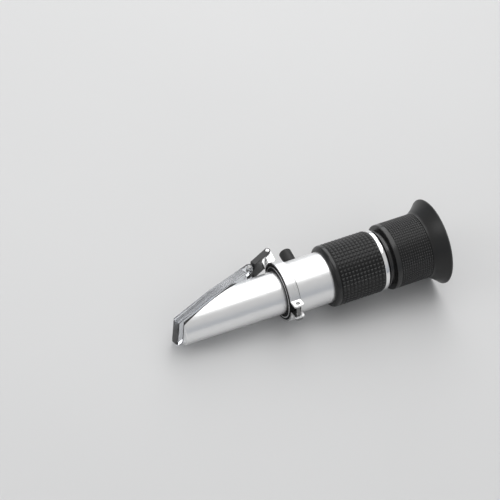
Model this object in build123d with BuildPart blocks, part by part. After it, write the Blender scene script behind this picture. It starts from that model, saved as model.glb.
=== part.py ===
from build123d import *
import math
import os

os.makedirs("parts", exist_ok=True)

# Handheld refractometer, lying on its side as it is kept in its case. The barrel runs along X with
# the eyecup at +X. The prism and the daylight plate face +Y, and the clamp tabs of the hinge band
# point to -Y. All stations along the barrel are counted from the neck, the plane where the chrome
# ring ends and the focusing eyepiece begins, so the front of the instrument has negative stations.

# Fits
assembly_gap = 0.05  # radial room between round pieces that are glued, pressed or screwed together
running_gap = 0.05  # radial room of what turns or slides on something
side_gap = 0.15  # room beside the leaves of a hinge

# Barrel
barrel_radius = 13.0
barrel_wall = 1.5
barrel_length = 52.7
bare_length = 19.1  # bare metal between the hinge band and the grip
mouth_lip = 0.6  # wall left around the front seal

# Prism housing, the slender front section with the slanted cut
seal_thickness = 1.6  # of the rubber ring between the housing and the barrel's mouth
seal_width = 1.5
housing_taper = 0.6  # how much less its radius is at the nose
housing_step = 0.3  # how far the full front section stands out of the barrel's mouth
nose_depth = 4.0  # height of the flat nose under the cut
nose_fillet = 0.4
cut_angle = 21.9
flange_length = 6.0
flange_wall = 3.45
light_bore_roof = 1.35  # metal left above the light's bore, under the cut
prism_bore_radius = 5.0
prism_bore_overrun = 3.2  # how far the bore runs into the prism's pocket

# Prism and its black frame, both measured along the cut from the nose
frame_start = 1.5
frame_margin = 0.85  # cut surface left beside the frame at the nose
frame_straight = 29.5
frame_border = 1.7
frame_proud = 1.5  # how far frame and prism stand above the cut
frame_bevel = 0.3
prism_depth = 5.0
prism_chamfer = 3.0
prism_floor_wall = 3.8  # metal between the prism's level underside and the housing's underside

# Daylight plate
plate_gap = 0.3  # room for the liquid between prism and plate
plate_thickness = 4.0
plate_side = 1.75  # how far it reaches past the frame on each side
plate_overhang = 1.8  # how far it reaches past the nose
plate_straight = 23.4
plate_length = 50.5  # from its front edge to its hinge pin
plate_hinge_width = 10.8
plate_edge = 0.35  # chamfer around the clear plate
tongue_width = 4.4

# Hinge arm and its pins
arm_reach = 13.7  # between the two pins
arm_pin_setback = 3.55  # of the arm's pin from the front edge of the hinge band
arm_pin_lift = 0.6  # the arm's pin lies this much above the middle of the plate
arm_height = 3.0
arm_side_step = 0.4  # how far the arm stands out beside the plate's knuckles
arm_cheek = 1.1
arm_room = 0.8  # between the plate's knuckles and the square front of the arm
arm_block_length = 5.6
slot_room = 1.5  # in front of the arm's tongue
pin_radius = 0.9
pin_head_radius = 1.25
pin_head_height = 0.5
pin_head_round = 0.35

# Hinge band around the barrel
band_setback = 0.3  # from the barrel's front edge
band_width = 5.1
band_thickness = 1.0
liner_thickness = 0.9
liner_overhang = 0.2
ear_rim = 0.85  # metal around the arm's pin
ear_foot_inset = 1.1  # of the ear's front foot from the band's front edge
split_angle = 18.0  # how far the split is turned from the underside towards +Z
split_gap = 5.6
tab_length = 4.8
tab_corner = 0.8
clamp_screw_radius = 1.0
clamp_head_radius = 2.0
clamp_head_height = 1.4
clamp_tip_recess = 0.3
slot_width = 0.6

# Objective lens cell and scale
cell_setback = 2.0  # from the housing's flange
cell_length = 8.0
cell_wall = 2.4
cell_lip = 1.0
objective_edge = 1.6
objective_bulge = 1.1
retainer_width = 1.5
scale_wall = 1.8
scale_thickness = 1.2
scale_seat = 1.2
scale_ledge = 1.0

# Calibration screw under its rubber cap, above the middle of the lens cell
screw_shank_radius = 1.2
screw_head_radius = 1.7
screw_head_height = 1.2
bush_wall = 0.7
bush_height = 3.5  # above the barrel
bush_clearance = 0.3  # above the lens cell
cap_wall = 0.6
cap_room = 0.9  # above the bush
cap_roof = 3.4
cap_lift = 0.3  # between the cap's skirt and the barrel
cap_bevel = 0.5

# Grip and chrome ring
grip_wall = 2.6
grip_lip = 3.3
grip_lip_face = 0.5  # flat part of the lip's front, next to the barrel
grip_groove_width = 0.4
grip_groove_depth = 0.3
ring_wall = 2.6
ring_width = 2.2
ring_bevel = 0.45

# Neck, the fixed part of the eyepiece
neck_shoulder = 0.8
neck_spigot = 20.0
neck_wall = 1.15
neck_step = 1.0  # how far the neck stands above the barrel
neck_bead_height = 0.7
neck_bead_width = 0.9
neck_collar_height = 0.4
neck_collar_width = 0.5
neck_groove = 0.45
neck_length = 13.0

# Focus ring
focus_travel = 1.5  # each way from the middle
focus_clearance = 0.4  # behind the neck's bead when the ring is right in
focus_wall = 2.55
focus_lip = 2.75
knurl_length = 17.0
knurl_depth = 0.45
flute_count = 72
flute_width = 0.6
web_thickness = 2.0
web_clearance = 0.05  # behind the circlip when the ring is right in
spigot_step = 0.35
spigot_wall = 1.4
spigot_length = 3.0

# Ocular tube and lenses
ocular_inside = 8.0  # how far the tube reaches into the neck
ocular_wall = 1.3
ocular_flange_clearance = 0.4
ocular_flange_thickness = 1.5
circlip_height = 1.35
circlip_thickness = 0.8
circlip_mouth = 3.0
field_ring_length = 1.5
eye_lens_setback = 0.75  # of its front face from the flange's rear face
lens_edge = 1.8
lens_bulge = 1.2
lens_retainer = 1.6
ocular_lip = 0.8

# Eyecup
eyecup_length = 7.8
eyecup_flare = 5.2
eyecup_sag = 0.35  # how far its side is hollow
eyecup_rim = 1.2

# Radii, from the barrel outwards and inwards
barrel_bore = barrel_radius - barrel_wall
spigot_fit = barrel_bore - assembly_gap
liner_outer = barrel_radius + assembly_gap + liner_thickness
band_inner = liner_outer + assembly_gap
band_outer = band_inner + band_thickness
seal_outer = barrel_radius - mouth_lip - assembly_gap
seal_inner = seal_outer - seal_thickness
housing_radius = seal_inner - assembly_gap
nose_radius = housing_radius - housing_taper
light_bore_radius = spigot_fit - flange_wall
objective_radius = spigot_fit - cell_wall - assembly_gap
scale_radius = spigot_fit - scale_wall - assembly_gap
scale_bore = scale_radius - scale_ledge
bush_radius = screw_head_radius + running_gap + bush_wall
bush_top = barrel_radius + bush_height
cap_top = bush_top + cap_room + cap_roof
grip_radius = barrel_radius + grip_wall
grip_lip_radius = grip_wall - grip_lip_face
ring_radius = barrel_radius + ring_wall
neck_radius = barrel_radius + neck_step
neck_bead_radius = neck_radius + neck_bead_height
neck_collar_radius = neck_radius + neck_collar_height
neck_bore = spigot_fit - neck_wall
ring_bore = neck_radius + running_gap
focus_radius = ring_bore + focus_wall
spigot_radius = ring_bore + spigot_step
spigot_inner = spigot_radius - spigot_wall
ocular_radius = neck_bore - running_gap
ocular_flange_radius = spigot_inner - ocular_flange_clearance
circlip_radius = ocular_radius + circlip_height
eyecup_radius = focus_radius + eyecup_flare

# Stations along the barrel
grip_rear = -ring_width
barrel_rear = -neck_shoulder
barrel_front = barrel_rear - barrel_length
band_front = barrel_front + band_setback
band_rear = band_front + band_width
band_middle = (band_front + band_rear) / 2
grip_front = band_rear + bare_length
flange_front = barrel_front + seal_width
flange_rear = flange_front + flange_length
cell_front = flange_rear + cell_setback
cell_rear = cell_front + cell_length
calibration_x = (cell_front + cell_rear) / 2
bead_front = neck_collar_width + neck_groove
bead_rear = bead_front + neck_bead_width
neck_rear = neck_length
focus_front = bead_rear + focus_travel + focus_clearance
knurl_front = focus_front + focus_lip
knurl_rear = knurl_front + knurl_length
web_front = neck_rear + focus_travel + circlip_thickness + side_gap + web_clearance
web_rear = web_front + web_thickness
spigot_rear = knurl_rear + spigot_length
ocular_front = -ocular_inside
ocular_flange_front = web_rear + side_gap
ocular_flange_rear = ocular_flange_front + ocular_flange_thickness
field_lens_x = ocular_front + field_ring_length
eye_lens_x = ocular_flange_rear - eye_lens_setback
ocular_rear = eye_lens_x + lens_edge + lens_retainer
eyecup_rear = knurl_rear + eyecup_length

# The hinge chain, measured along the cut from the nose and above the cut. The band carries the arm's
# pin, so the arm and the plate set how far in front of the band the nose lies.
slope = math.radians(cut_angle)
plate_bottom = frame_proud + plate_gap
plate_middle = plate_bottom + plate_thickness / 2
plate_top = plate_bottom + plate_thickness
plate_pin_s = plate_length - plate_overhang
arm_pin_s = plate_pin_s + arm_reach
arm_pin_rise = plate_middle + arm_pin_lift
arm_pin_x = band_front + arm_pin_setback
nose_x = arm_pin_x - arm_pin_s * math.cos(slope) + arm_pin_rise * math.sin(slope)
cut_start = nose_depth - nose_radius  # height of the cut at the nose, from the barrel's axis


def from_cut(along, above):
    """Side view of a point that is measured along the cut and above it."""
    x = nose_x + along * math.cos(slope) - above * math.sin(slope)
    y = cut_start + along * math.sin(slope) + above * math.cos(slope)
    return x, y


light_bore_end = nose_x + (light_bore_radius + light_bore_roof - cut_start) / math.tan(slope)
prism_bore_end = from_cut(frame_start + frame_straight, -prism_depth)[0] - prism_bore_overrun
arm_pin_y = from_cut(arm_pin_s, arm_pin_rise)[1]
front_reach = -from_cut(-plate_overhang, plate_top)[0]
hinge_top = arm_pin_y + arm_height / 2

# Widths across the cut: the frame leaves a margin of metal beside it where the nose is narrowest.
frame_front_y = from_cut(frame_start, 0)[1]
frame_width = 2 * (math.sqrt(nose_radius**2 - frame_front_y**2) - frame_margin)
plate_width = frame_width + 2 * plate_side
arm_width = plate_hinge_width + 2 * arm_side_step
arm_front_gap = plate_thickness / 2 + arm_room
slot_depth = arm_height / 2 + slot_room
ear_radius = pin_radius + ear_rim
prism_floor = nose_radius - prism_floor_wall

# The origin is below the middle of the whole instrument, on the surface that it lies on.
neck_x = (front_reach - eyecup_rear) / 2
axis_y = (eyecup_radius - hinge_top) / 2
side = Plane((neck_x, axis_y, eyecup_radius))
barrel_axis = Axis(side.origin, (1, 0, 0))

# The cut: seen from the side, and seen from above its surface.
cut_origin = side.from_local_coords((nose_x, cut_start, 0))
cut_direction = (math.cos(slope), math.sin(slope), 0)
cut_normal = (-math.sin(slope), math.cos(slope), 0)
cut_side = Plane(cut_origin, x_dir=cut_direction, z_dir=(0, 0, 1))
cut_face = Plane(cut_origin, x_dir=cut_direction, z_dir=cut_normal)

# The clamp's split: its plane holds the barrel's axis, and its local -Y points out of the split.
split = math.radians(split_angle)
clamp = Plane(side.origin, x_dir=(1, 0, 0), z_dir=(0, math.sin(split), math.cos(split)))

# The calibration screw's plane holds the barrel's axis, and the screw stands along its normal, +Y.
calibration_point = side.from_local_coords((calibration_x, 0, 0))
calibration = Plane(calibration_point, x_dir=(1, 0, 0), z_dir=(0, 1, 0))


def save(part, name):
    part.label = name
    export_step(part, f"parts/{name}.step")


def wall(front, rear, inner, outer):
    """Half section of a plain ring around the barrel's axis."""
    with BuildSketch(side) as section:
        with Locations(((front + rear) / 2, (inner + outer) / 2)):
            Rectangle(rear - front, outer - inner)
    return section.sketch


def outline(*points):
    """Half section with straight edges around the barrel's axis."""
    with BuildSketch(side) as section:
        with BuildLine():
            Polyline(*points, close=True)
        make_face()
    return section.sketch


def lens_side(x, radius, bulge):
    """One side of a lens, from its edge to the barrel's axis: an arc, or a line if the bulge is 0."""
    edge = (x, radius)
    apex = (x + bulge, 0)
    if bulge == 0:
        return Line(edge, apex)
    sphere = (radius**2 + bulge**2) / (2 * bulge)
    middle = x + bulge - sphere + math.copysign(math.sqrt(sphere**2 - radius**2 / 4), sphere)
    return ThreePointArc(edge, (middle, radius / 2), apex)


def lens_section(front, radius, edge, front_bulge, rear_bulge):
    """Half section of a lens. A bulge of 0 makes that side flat."""
    rear = front + edge
    with BuildSketch(side) as section:
        with BuildLine():
            lens_side(front, radius, -front_bulge)
            Line((front, radius), (rear, radius))
            lens_side(rear, radius, rear_bulge)
            Line((front - front_bulge, 0), (rear + rear_bulge, 0))
        make_face()
    return section.sketch


# Barrel tube: the clamp band and the grip sit on it, and the calibration bush goes through it.
with BuildPart() as barrel_tube:
    revolve(
        outline(
            (barrel_front, barrel_radius - mouth_lip),
            (barrel_front, barrel_radius),
            (barrel_rear, barrel_radius),
            (barrel_rear, barrel_bore),
            (flange_front, barrel_bore),
            (flange_front, barrel_radius - mouth_lip),
        ),
        axis=barrel_axis,
    )
    with BuildSketch(calibration):
        Circle(bush_radius + assembly_gap)
    extrude(amount=bush_top, mode=Mode.SUBTRACT)
save(barrel_tube.part, "barrel_tube")


def cut_outline(inset):
    """The frame's outline seen from above the cut, made smaller by an inset."""
    half = frame_width / 2 - inset
    start = frame_start + inset
    end = frame_start + frame_straight
    with BuildSketch(Plane.XY) as shape:
        with BuildLine():
            Line((end, half), (start, half))
            Line((start, half), (start, -half))
            Line((start, -half), (end, -half))
            ThreePointArc((end, -half), (end + half, 0), (end, half))
        make_face()
    return shape.sketch


def prism_block(inset, room, proud):
    """The prism's body, with room around its underside and standing proud of the cut."""
    with BuildPart() as block:
        with BuildSketch(cut_face.offset(-prism_depth - room)):
            add(cut_outline(inset))
        extrude(amount=prism_depth + room + proud)
        low_face = block.faces().sort_by(Axis(cut_origin, cut_normal))[0]
        chamfer(low_face.edges().filter_by(GeomType.CIRCLE), prism_chamfer)
        with BuildSketch(side):
            with Locations((nose_x, -prism_floor - room - housing_radius)):
                Rectangle(2 * plate_length, 2 * housing_radius)
        extrude(amount=frame_width, both=True, mode=Mode.SUBTRACT)
    return block.part


# Prism housing: a slightly tapered bar, cut off at a slant, with the prism's pocket in the cut.
with BuildPart() as prism_housing:
    revolve(
        outline(
            (nose_x, 0),
            (nose_x, nose_radius),
            (barrel_front - housing_step, housing_radius),
            (flange_front, housing_radius),
            (flange_front, spigot_fit),
            (flange_rear, spigot_fit),
            (flange_rear, light_bore_radius),
            (light_bore_end, light_bore_radius),
            (light_bore_end, prism_bore_radius),
            (prism_bore_end, prism_bore_radius),
            (prism_bore_end, 0),
        ),
        axis=barrel_axis,
    )
    fillet(prism_housing.edges().group_by(Axis.X)[0], nose_fillet)
    with BuildSketch(cut_side):
        with Locations((plate_length / 2, nose_radius)):
            Rectangle(2 * plate_length, 2 * nose_radius)
    extrude(amount=2 * housing_radius, both=True, mode=Mode.SUBTRACT)
    pocket = prism_block(frame_border - assembly_gap, assembly_gap, frame_proud)
    add(pocket, mode=Mode.SUBTRACT)
save(prism_housing.part, "prism_housing")

# Prism frame: the black rim that holds the prism and stands proud of the cut.
with BuildPart() as prism_frame:
    with BuildSketch(cut_face):
        add(cut_outline(0))
        add(cut_outline(frame_border - assembly_gap), mode=Mode.SUBTRACT)
    extrude(amount=frame_proud)
    top_face = prism_frame.faces().sort_by(Axis(cut_origin, cut_normal))[-1]
    chamfer(top_face.outer_wire().edges(), frame_bevel)
save(prism_frame.part, "prism_frame")

# Prism: its measuring face is level with the frame, and its exit face is bevelled.
with BuildPart() as prism:
    add(prism_block(frame_border, 0, frame_proud))
save(prism.part, "prism")

# Front seal: a rubber ring that closes the barrel's mouth around the housing.
with BuildPart() as front_seal:
    revolve(wall(barrel_front, flange_front, seal_inner, seal_outer), axis=barrel_axis)
save(front_seal.part, "front_seal")

# Band liner: the rubber strip between the barrel and the hinge band.
with BuildPart() as band_liner:
    liner_front = band_front - liner_overhang
    liner_rear = band_rear + liner_overhang
    liner_inner = barrel_radius + assembly_gap
    revolve(wall(liner_front, liner_rear, liner_inner, liner_outer), axis=barrel_axis)
save(band_liner.part, "band_liner")

# Hinge band: a split sheet-metal ring with two ears for the arm and two tabs for the clamp screw.
ear_outer = arm_width / 2 - arm_cheek - side_gap
ear_foot = math.sqrt((band_outer - band_thickness / 2) ** 2 - ear_outer**2)
tab_root = math.sqrt(band_outer**2 - (split_gap / 2) ** 2) - band_thickness / 2
tab_end = tab_root + tab_length
tab_middle = (tab_end + band_outer) / 2
with BuildPart() as hinge_band:
    revolve(wall(band_front, band_rear, band_inner, band_outer), axis=barrel_axis)
    with BuildSketch(clamp):
        with Locations((band_middle, -band_outer)):
            Rectangle(2 * (band_rear - band_front), band_outer)
    extrude(amount=split_gap / 2, both=True, mode=Mode.SUBTRACT)
    with BuildSketch(clamp.offset(split_gap / 2)):
        with Locations((band_middle, -(tab_root + tab_end) / 2)):
            tab_shape = Rectangle(band_rear - band_front, tab_end - tab_root)
        fillet(tab_shape.vertices().group_by(Axis.Y)[0], tab_corner)
        with Locations((band_middle, -tab_middle)):
            Circle(clamp_screw_radius + assembly_gap, mode=Mode.SUBTRACT)
    tab = extrude(amount=band_thickness)
    mirror(tab, about=clamp)
    with BuildSketch(side.offset(ear_outer)):
        with BuildLine():
            Line((band_front + ear_foot_inset, ear_foot), (arm_pin_x - ear_radius, arm_pin_y))
            ThreePointArc(
                (arm_pin_x - ear_radius, arm_pin_y),
                (arm_pin_x, arm_pin_y + ear_radius),
                (arm_pin_x + ear_radius, arm_pin_y),
            )
            Line((arm_pin_x + ear_radius, arm_pin_y), (band_rear, ear_foot))
            Line((band_rear, ear_foot), (band_front + ear_foot_inset, ear_foot))
        make_face()
        with Locations((arm_pin_x, arm_pin_y)):
            Circle(pin_radius + assembly_gap, mode=Mode.SUBTRACT)
    ear = extrude(amount=-band_thickness)
    mirror(ear, about=side)
save(hinge_band.part, "hinge_band")

# Clamp screw: its head bears on the lower tab, and its tip ends just inside the upper one.
with BuildPart() as clamp_screw:
    tab_face = split_gap / 2 + band_thickness
    with BuildSketch(clamp.offset(-tab_face)):
        with Locations((band_middle, -tab_middle)):
            Circle(clamp_screw_radius)
    extrude(amount=2 * tab_face - clamp_tip_recess)
    with BuildSketch(clamp.offset(-tab_face)):
        with Locations((band_middle, -tab_middle)):
            Circle(clamp_head_radius)
    extrude(amount=-clamp_head_height)
    with BuildSketch(clamp.offset(-tab_face - clamp_head_height)):
        with Locations((band_middle, -tab_middle)):
            Rectangle(3 * clamp_head_radius, slot_width)
    extrude(amount=slot_width, mode=Mode.SUBTRACT)
save(clamp_screw.part, "clamp_screw")

# Arm pin: riveted in the band's ears, with a head outside each cheek of the arm.
with BuildPart() as arm_pin:
    pin_end = arm_width / 2 + side_gap
    with BuildSketch(side):
        with Locations((arm_pin_x, arm_pin_y)):
            Circle(pin_radius)
    extrude(amount=pin_end, both=True)
    with BuildSketch(side.offset(pin_end)):
        with Locations((arm_pin_x, arm_pin_y)):
            Circle(pin_head_radius)
    extrude(amount=pin_head_height)
    with BuildSketch(side.offset(-pin_end)):
        with Locations((arm_pin_x, arm_pin_y)):
            Circle(pin_head_radius)
    extrude(amount=-pin_head_height)
    heads = arm_pin.edges().group_by(Axis.Z)
    fillet(heads[0] + heads[-1], pin_head_round)
save(arm_pin.part, "arm_pin")

# Hinge arm: a fork around the band's ears, and a tongue between the plate's knuckles.
with BuildPart() as hinge_arm:
    arm_turn = math.atan2(arm_pin_lift, arm_reach)
    arm_length = math.hypot(arm_reach, arm_pin_lift)
    plate_pin_point = side.from_local_coords((*from_cut(plate_pin_s, plate_middle), 0))
    arm_angle = slope + arm_turn
    arm_side = Plane(
        plate_pin_point, x_dir=(math.cos(arm_angle), math.sin(arm_angle), 0), z_dir=(0, 0, 1)
    )
    with BuildSketch(arm_side):
        with BuildLine():
            Line((arm_length, arm_height / 2), (arm_front_gap, arm_height / 2))
            Line((arm_front_gap, arm_height / 2), (arm_front_gap, -arm_height / 2))
            Line((arm_front_gap, -arm_height / 2), (arm_length, -arm_height / 2))
            ThreePointArc(
                (arm_length, -arm_height / 2),
                (arm_length + arm_height / 2, 0),
                (arm_length, arm_height / 2),
            )
        make_face()
    extrude(amount=arm_width / 2, both=True)
    with BuildSketch(arm_side):
        with Locations((arm_front_gap + arm_block_length + arm_length, 0)):
            Rectangle(2 * arm_length, 2 * arm_height)
    extrude(amount=arm_width / 2 - arm_cheek, both=True, mode=Mode.SUBTRACT)
    with BuildSketch(arm_side):
        Circle(arm_height / 2)
        with Locations((arm_front_gap / 2, 0)):
            Rectangle(arm_front_gap, arm_height)
    extrude(amount=tongue_width / 2 - side_gap, both=True)
    with BuildSketch(arm_side):
        Circle(pin_radius + assembly_gap)
        with Locations((arm_length, 0)):
            Circle(pin_radius + running_gap)
    extrude(amount=arm_width, both=True, mode=Mode.SUBTRACT)
save(hinge_arm.part, "hinge_arm")

# Plate pin: pressed into the arm's tongue, and the plate turns on both its ends.
with BuildPart() as plate_pin:
    with BuildSketch(arm_side):
        Circle(pin_radius)
    extrude(amount=plate_hinge_width / 2, both=True)
save(plate_pin.part, "plate_pin")

# Daylight plate: a thick clear plate that narrows to the two knuckles of its hinge.
with BuildPart() as daylight_plate:
    with BuildSketch(cut_face.offset(plate_bottom)):
        with BuildLine():
            Polyline(
                (-plate_overhang, plate_width / 2),
                (-plate_overhang, -plate_width / 2),
                (plate_straight - plate_overhang, -plate_width / 2),
                (plate_pin_s, -plate_hinge_width / 2),
                (plate_pin_s, plate_hinge_width / 2),
                (plate_straight - plate_overhang, plate_width / 2),
                close=True,
            )
        make_face()
    extrude(amount=plate_thickness)
    front_edges = daylight_plate.edges().group_by(Axis(cut_origin, cut_direction))[0]
    chamfer(front_edges, plate_edge)
    with BuildSketch(cut_side):
        with Locations((plate_pin_s, plate_middle)):
            Circle(plate_thickness / 2)
    extrude(amount=plate_hinge_width / 2, both=True)
    with BuildSketch(cut_side):
        with Locations((plate_pin_s, plate_middle)):
            Rectangle(2 * slot_depth, 2 * plate_thickness)
    extrude(amount=tongue_width / 2, both=True, mode=Mode.SUBTRACT)
    with BuildSketch(cut_side):
        with Locations((plate_pin_s, plate_middle)):
            Circle(pin_radius + running_gap)
    extrude(amount=plate_width, both=True, mode=Mode.SUBTRACT)
save(daylight_plate.part, "daylight_plate")

# Calibration bush, screw and cap stand on the prism side of the barrel, along +Y.
bush_bottom = spigot_fit + bush_clearance
head_bottom = bush_top - screw_head_height - running_gap
with BuildPart() as calibration_bush:
    with BuildSketch(calibration.offset(bush_bottom)):
        Circle(bush_radius)
        Circle(screw_shank_radius + running_gap, mode=Mode.SUBTRACT)
    extrude(amount=bush_top - bush_bottom)
    with BuildSketch(calibration.offset(head_bottom)):
        Circle(screw_head_radius + running_gap)
    extrude(amount=bush_top - head_bottom, mode=Mode.SUBTRACT)
save(calibration_bush.part, "calibration_bush")

with BuildPart() as calibration_screw:
    with BuildSketch(calibration.offset(bush_bottom)):
        Circle(screw_shank_radius)
    extrude(amount=bush_top - bush_bottom - screw_head_height)
    with BuildSketch(calibration.offset(bush_top - screw_head_height)):
        Circle(screw_head_radius)
    extrude(amount=screw_head_height)
    with BuildSketch(calibration.offset(bush_top)):
        Rectangle(3 * screw_head_radius, slot_width)
    extrude(amount=-slot_width, mode=Mode.SUBTRACT)
save(calibration_screw.part, "calibration_screw")

with BuildPart() as screw_cap:
    cap_radius = bush_radius + running_gap + cap_wall
    cap_bottom = barrel_radius + cap_lift
    with BuildSketch(calibration.offset(cap_bottom)):
        Circle(cap_radius)
    extrude(amount=cap_top - cap_bottom)
    fillet(screw_cap.edges().group_by(Axis.Y)[-1], cap_bevel)
    with BuildSketch(calibration.offset(cap_bottom)):
        Circle(bush_radius + running_gap)
    extrude(amount=cap_top - cap_roof - cap_bottom, mode=Mode.SUBTRACT)
save(screw_cap.part, "screw_cap")

# Objective: the cell is a cup that the lens lies in, with a ring behind it.
with BuildPart() as objective_cell:
    revolve(
        outline(
            (cell_front, objective_radius - cell_lip),
            (cell_front, spigot_fit),
            (cell_rear, spigot_fit),
            (cell_rear, objective_radius + assembly_gap),
            (cell_front + cell_lip, objective_radius + assembly_gap),
            (cell_front + cell_lip, objective_radius - cell_lip),
        ),
        axis=barrel_axis,
    )
save(objective_cell.part, "objective_cell")

with BuildPart() as objective_lens:
    lens_front = cell_front + cell_lip
    bulge = objective_bulge
    revolve(lens_section(lens_front, objective_radius, objective_edge, 0, bulge), axis=barrel_axis)
save(objective_lens.part, "objective_lens")

with BuildPart() as objective_retainer:
    ring_front = cell_front + cell_lip + objective_edge
    ring_inner = objective_radius - retainer_width
    ring_front_clear = ring_front + objective_bulge / 2
    revolve(
        outline(
            (ring_front, objective_radius),
            (ring_front_clear, ring_inner),
            (ring_front_clear + retainer_width, ring_inner),
            (ring_front_clear + retainer_width, objective_radius),
        ),
        axis=barrel_axis,
    )
save(objective_retainer.part, "objective_retainer")

# Scale disc: the glass with the printed scale, in a holder in front of the neck.
scale_rear = -neck_spigot
scale_front = scale_rear - scale_thickness - scale_seat
with BuildPart() as scale_holder:
    revolve(
        outline(
            (scale_front, scale_bore),
            (scale_front, spigot_fit),
            (scale_rear, spigot_fit),
            (scale_rear, scale_radius + assembly_gap),
            (scale_front + scale_seat, scale_radius + assembly_gap),
            (scale_front + scale_seat, scale_bore),
        ),
        axis=barrel_axis,
    )
save(scale_holder.part, "scale_holder")

with BuildPart() as scale_disc:
    revolve(wall(scale_rear - scale_thickness, scale_rear, 0, scale_radius), axis=barrel_axis)
save(scale_disc.part, "scale_disc")

# Grip: a rubber sleeve with a rounded lip in front.
with BuildPart() as rubber_grip:
    with BuildSketch(side):
        with BuildLine():
            grip_bore = barrel_radius + assembly_gap
            Line((grip_rear, grip_bore), (grip_rear, grip_radius))
            Line((grip_rear, grip_radius), (grip_front + grip_lip_radius, grip_radius))
            RadiusArc(
                (grip_front + grip_lip_radius, grip_radius),
                (grip_front, grip_radius - grip_lip_radius),
                -grip_lip_radius,
            )
            Line((grip_front, grip_radius - grip_lip_radius), (grip_front, grip_bore))
            Line((grip_front, grip_bore), (grip_rear, grip_bore))
        make_face()
    revolve(axis=barrel_axis)
    with BuildSketch(side):
        with Locations((grip_front + grip_lip, grip_radius)):
            Rectangle(grip_groove_width, 2 * grip_groove_depth)
    revolve(axis=barrel_axis, mode=Mode.SUBTRACT)
save(rubber_grip.part, "rubber_grip")

# Chrome ring between the grip and the neck.
with BuildPart() as chrome_ring:
    ring_inner = barrel_radius + assembly_gap
    revolve(
        outline(
            (grip_rear, ring_inner),
            (grip_rear, ring_radius - ring_bevel),
            (grip_rear + ring_bevel, ring_radius),
            (-ring_bevel, ring_radius),
            (0, ring_radius - ring_bevel),
            (0, ring_inner),
        ),
        axis=barrel_axis,
    )
save(chrome_ring.part, "chrome_ring")

# Neck: the fixed black tube that the focus ring turns on.
with BuildPart() as neck_tube:
    groove_radius = neck_radius - neck_groove
    revolve(
        outline(
            (-neck_spigot, neck_bore),
            (-neck_spigot, spigot_fit),
            (barrel_rear, spigot_fit),
            (barrel_rear, barrel_radius),
            (0, barrel_radius),
            (0, neck_collar_radius),
            (neck_collar_width, neck_collar_radius),
            (neck_collar_width, groove_radius),
            (bead_front, groove_radius),
            (bead_front, neck_bead_radius),
            (bead_rear, neck_bead_radius),
            (bead_rear, neck_radius),
            (neck_rear, neck_radius),
            (neck_rear, neck_bore),
        ),
        axis=barrel_axis,
    )
save(neck_tube.part, "neck_tube")

# Focus ring: a fluted band between two smooth lips, and a web that turns on the ocular tube.
web_inner = ocular_radius + running_gap
with BuildPart() as focus_ring:
    revolve(
        outline(
            (focus_front, ring_bore),
            (focus_front, focus_radius - ring_bevel),
            (focus_front + ring_bevel, focus_radius),
            (knurl_rear, focus_radius),
            (knurl_rear, spigot_radius),
            (spigot_rear, spigot_radius),
            (spigot_rear, spigot_inner),
            (web_rear, spigot_inner),
            (web_rear, web_inner),
            (web_front, web_inner),
            (web_front, ring_bore),
        ),
        axis=barrel_axis,
    )
    around_barrel = Plane(barrel_axis.position, x_dir=(0, 1, 0), z_dir=(1, 0, 0))
    with BuildSketch(around_barrel.offset(knurl_front)):
        with PolarLocations(focus_radius, flute_count):
            Rectangle(2 * knurl_depth, flute_width)
    extrude(amount=knurl_length - ring_bevel, mode=Mode.SUBTRACT)
save(focus_ring.part, "focus_ring")

# Ocular tube: it slides in the neck, and its flange and circlip hold the web of the focus ring.
ocular_bore = ocular_radius - ocular_wall
with BuildPart() as ocular_tube:
    revolve(
        outline(
            (ocular_front, ocular_bore),
            (ocular_front, ocular_radius),
            (ocular_flange_front, ocular_radius),
            (ocular_flange_front, ocular_flange_radius),
            (ocular_flange_rear, ocular_flange_radius),
            (ocular_flange_rear, ocular_radius),
            (ocular_rear, ocular_radius),
            (ocular_rear, ocular_bore),
            (eye_lens_x, ocular_bore),
            (eye_lens_x, ocular_bore - ocular_lip),
            (eye_lens_x - ocular_lip, ocular_bore - ocular_lip),
            (eye_lens_x - ocular_lip, ocular_bore),
        ),
        axis=barrel_axis,
    )
    with BuildSketch(side):
        with Locations((field_lens_x + lens_edge + ocular_lip / 2, ocular_bore - ocular_lip / 2)):
            Rectangle(ocular_lip, ocular_lip)
    revolve(axis=barrel_axis)
    groove_front = web_front - side_gap - circlip_thickness
    with BuildSketch(side):
        with Locations((groove_front + circlip_thickness / 2, ocular_radius)):
            Rectangle(circlip_thickness, ocular_wall)
    revolve(axis=barrel_axis, mode=Mode.SUBTRACT)
save(ocular_tube.part, "ocular_tube")

with BuildPart() as circlip:
    circlip_inner = ocular_radius - ocular_wall / 2 + assembly_gap
    circlip_rear = groove_front + circlip_thickness
    revolve(wall(groove_front, circlip_rear, circlip_inner, circlip_radius), axis=barrel_axis)
    with BuildSketch(around_barrel.offset(groove_front)):
        with Locations((circlip_radius, 0)):
            Rectangle(circlip_radius, circlip_mouth)
    extrude(amount=circlip_thickness, mode=Mode.SUBTRACT)
save(circlip.part, "circlip")

lens_radius = ocular_bore - assembly_gap
with BuildPart() as field_lens:
    revolve(lens_section(field_lens_x, lens_radius, lens_edge, lens_bulge, 0), axis=barrel_axis)
save(field_lens.part, "field_lens")

with BuildPart() as eye_lens:
    revolve(lens_section(eye_lens_x, lens_radius, lens_edge, 0, lens_bulge), axis=barrel_axis)
save(eye_lens.part, "eye_lens")

with BuildPart() as field_lens_ring:
    ring_inner = lens_radius - ocular_wall
    ring_rear = field_lens_x - lens_bulge / 2
    revolve(
        outline(
            (ocular_front, ring_inner),
            (ocular_front, lens_radius),
            (field_lens_x, lens_radius),
            (ring_rear, ring_inner),
        ),
        axis=barrel_axis,
    )
save(field_lens_ring.part, "field_lens_ring")

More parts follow.
